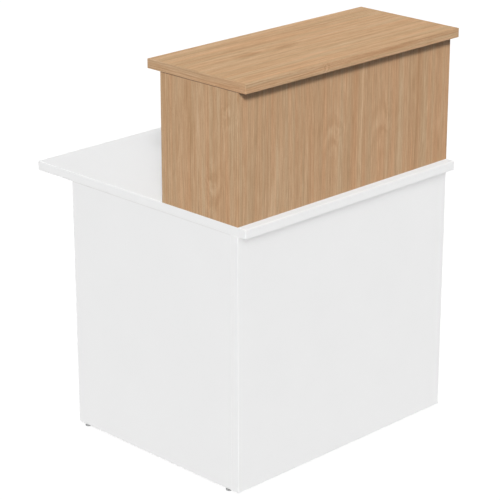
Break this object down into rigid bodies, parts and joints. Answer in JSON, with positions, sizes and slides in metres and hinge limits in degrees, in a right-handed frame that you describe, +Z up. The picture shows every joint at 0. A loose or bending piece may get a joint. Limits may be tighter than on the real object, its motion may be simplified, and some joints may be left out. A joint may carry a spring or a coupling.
{
  "type": "library service counter",
  "caption": "Free-standing library service counter: white desk base with closed front, raised beech-finish counter over the visitor's side, open staff side, screw-adjusted levelling feet.",
  "frame": {"origin": "on the floor, under the centre of the desk top", "axes": "+X to the visitor's right, +Y from the visitor's side towards the staff side, +Z up"},
  "size_m": [0.8, 0.8, 1.11],
  "materials": {
    "white_melamine_board": "white melamine-faced chipboard, fine pearl texture, matt",
    "white_edging": "white plastic edging, satin",
    "beech_melamine_board": "beech-grain melamine-faced chipboard, matt",
    "beech_edging": "beech-grain plastic edging, satin",
    "zinc_cam": "die-cast zinc, dull",
    "plated_steel": "bright zinc-plated steel",
    "beech_dowel": "plain beech",
    "white_cap": "moulded white plastic",
    "beech_cap": "moulded plastic, beech colour",
    "grey_nylon": "moulded nylon, mid grey"
  },
  "bodies": {
    "counter": {"base_cam_bolts": "plated_steel", "base_cam_caps": "white_cap", "base_cams": "zinc_cam", "base_dowels": "beech_dowel", "base_front_panel": "white_melamine_board", "base_front_panel_bottom_edging": "white_edging", "base_front_panel_left_edging": "white_edging", "base_front_panel_right_edging": "white_edging", "counter_top": "beech_melamine_board", "counter_top_front_edging": "beech_edging", "counter_top_left_edging": "beech_edging", "counter_top_rear_edging": "beech_edging", "counter_top_right_edging": "beech_edging", "desktop": "white_melamine_board", "desktop_front_edging": "white_edging", "desktop_left_edging": "white_edging", "desktop_rear_edging": "white_edging", "desktop_right_edging": "white_edging", "front_left_foot_sleeve": "plated_steel", "front_right_foot_sleeve": "plated_steel", "left_end_panel": "white_melamine_board", "left_end_panel_bottom_edging": "white_edging", "left_end_panel_rear_edging": "white_edging", "rear_left_foot_sleeve": "plated_steel", "rear_right_foot_sleeve": "plated_steel", "right_end_panel": "white_melamine_board", "right_end_panel_bottom_edging": "white_edging", "right_end_panel_rear_edging": "white_edging", "riser_cam_bolts": "plated_steel", "riser_cam_caps": "beech_cap", "riser_cams": "zinc_cam", "riser_dowels": "beech_dowel", "riser_front_panel": "beech_melamine_board", "riser_front_panel_left_edging": "beech_edging", "riser_front_panel_right_edging": "beech_edging", "riser_left_panel": "beech_melamine_board", "riser_left_panel_rear_edging": "beech_edging", "riser_right_panel": "beech_melamine_board", "riser_right_panel_rear_edging": "beech_edging"},
    "front_left_pad": {"front_left_foot_pad": "grey_nylon"},
    "front_left_stud": {"front_left_foot_stud": "plated_steel"},
    "front_right_pad": {"front_right_foot_pad": "grey_nylon"},
    "front_right_stud": {"front_right_foot_stud": "plated_steel"},
    "rear_left_pad": {"rear_left_foot_pad": "grey_nylon"},
    "rear_left_stud": {"rear_left_foot_stud": "plated_steel"},
    "rear_right_pad": {"rear_right_foot_pad": "grey_nylon"},
    "rear_right_stud": {"rear_right_foot_stud": "plated_steel"}
  },
  "joints": [
    {"name": "front_left_foot_travel", "type": "slide", "parent": "counter", "child": "front_left_pad", "axis": [0, 0, -1], "range_m": [0, 0.01]},
    {"name": "front_left_foot_spin", "type": "hinge", "parent": "front_left_pad", "child": "front_left_stud", "pos_m": [-0.3875, -0.325, 0], "axis": [0, 0, -1], "range_deg": [0, 2880]},
    {"name": "front_right_foot_travel", "type": "slide", "parent": "counter", "child": "front_right_pad", "axis": [0, 0, -1], "range_m": [0, 0.01]},
    {"name": "front_right_foot_spin", "type": "hinge", "parent": "front_right_pad", "child": "front_right_stud", "pos_m": [0.3875, -0.325, 0], "axis": [0, 0, -1], "range_deg": [0, 2880]},
    {"name": "rear_left_foot_travel", "type": "slide", "parent": "counter", "child": "rear_left_pad", "axis": [0, 0, -1], "range_m": [0, 0.01]},
    {"name": "rear_left_foot_spin", "type": "hinge", "parent": "rear_left_pad", "child": "rear_left_stud", "pos_m": [-0.3875, 0.236, 0], "axis": [0, 0, -1], "range_deg": [0, 2880]},
    {"name": "rear_right_foot_travel", "type": "slide", "parent": "counter", "child": "rear_right_pad", "axis": [0, 0, -1], "range_m": [0, 0.01]},
    {"name": "rear_right_foot_spin", "type": "hinge", "parent": "rear_right_pad", "child": "rear_right_stud", "pos_m": [0.3875, 0.236, 0], "axis": [0, 0, -1], "range_deg": [0, 2880]}
  ],
  "couplings": [
    {"joint": "front_left_foot_travel", "follows": "front_left_foot_spin", "m_per_rad": 0.00019894},
    {"joint": "front_right_foot_travel", "follows": "front_right_foot_spin", "m_per_rad": 0.00019894},
    {"joint": "rear_left_foot_travel", "follows": "rear_left_foot_spin", "m_per_rad": 0.00019894},
    {"joint": "rear_right_foot_travel", "follows": "rear_right_foot_spin", "m_per_rad": 0.00019894}
  ]
}
